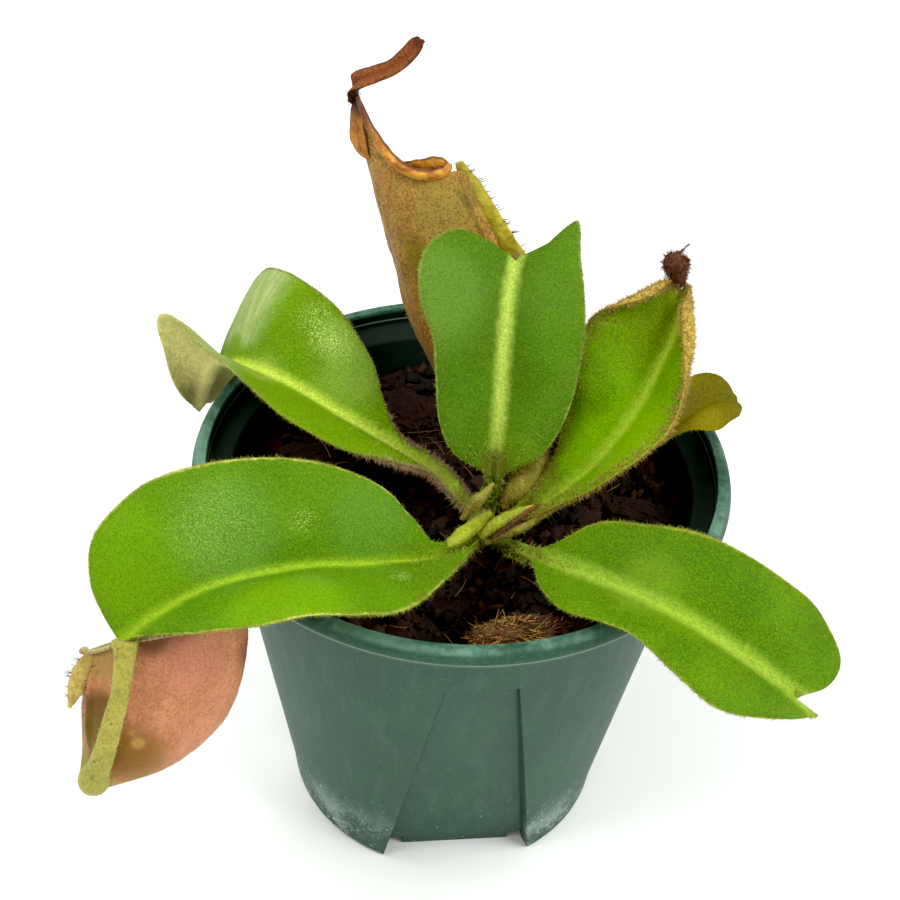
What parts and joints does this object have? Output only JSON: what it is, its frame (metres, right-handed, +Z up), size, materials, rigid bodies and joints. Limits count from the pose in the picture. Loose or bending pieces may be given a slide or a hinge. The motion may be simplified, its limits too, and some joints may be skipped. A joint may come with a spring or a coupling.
{
  "type": "potted pitcher plant",
  "caption": "Young tropical pitcher plant with broad velvety leaves, a hanging pitcher and a withered upright pitcher, growing in a round green plastic nursery pot with recessed panels.",
  "frame": {"origin": "the centre of the pot's flat underside, on the surface that it stands on", "axes": "+Z up along the pot's axis; +X to the right and -Y towards the viewer in the picture, so the large left leaf and its hanging pitcher lie towards -X and -Y"},
  "size_m": [0.1335, 0.1135, 0.1542],
  "materials": {
    "pot_plastic": "fine moulded grain, dull, with pale mineral deposits near the foot",
    "potting_mix": "coarse damp crumbs of bark and coir",
    "coconut_husk": "fibrous and dull",
    "bark": "rough and dull",
    "stem": "hairy",
    "leaf_green": "velvety, with a pale midrib",
    "leaf_bright": "velvety, with golden rolled margins",
    "leaf_olive": "velvety",
    "tendril": "hairy",
    "pitcher_living": "thin waxy skin with fine veins",
    "pitcher_withered": "dry, papery, with rusty speckles",
    "dried_tissue": "dry and wrinkled"
  },
  "bodies": {
    "root": {"pot": "pot_plastic", "potting_mix": "potting_mix", "stem": "stem", "husk_chip_front": "coconut_husk", "bark_chip_back": "bark", "bark_chip_left": "bark", "bark_chip_right": "bark", "leaf_front_left": "leaf_green", "leaf_back_left": "leaf_green", "leaf_centre": "leaf_green", "leaf_right": "leaf_bright", "leaf_front_right": "leaf_green", "leaf_small_right": "leaf_olive", "young_leaf": "leaf_olive", "dried_tip_right": "dried_tissue", "tendril_front_left": "tendril", "tendril_centre": "tendril", "pitcher_front_left": "pitcher_living", "lid_front_left": "pitcher_living", "pitcher_centre": "pitcher_withered", "lid_centre": "dried_tissue"}
  },
  "joints": []
}
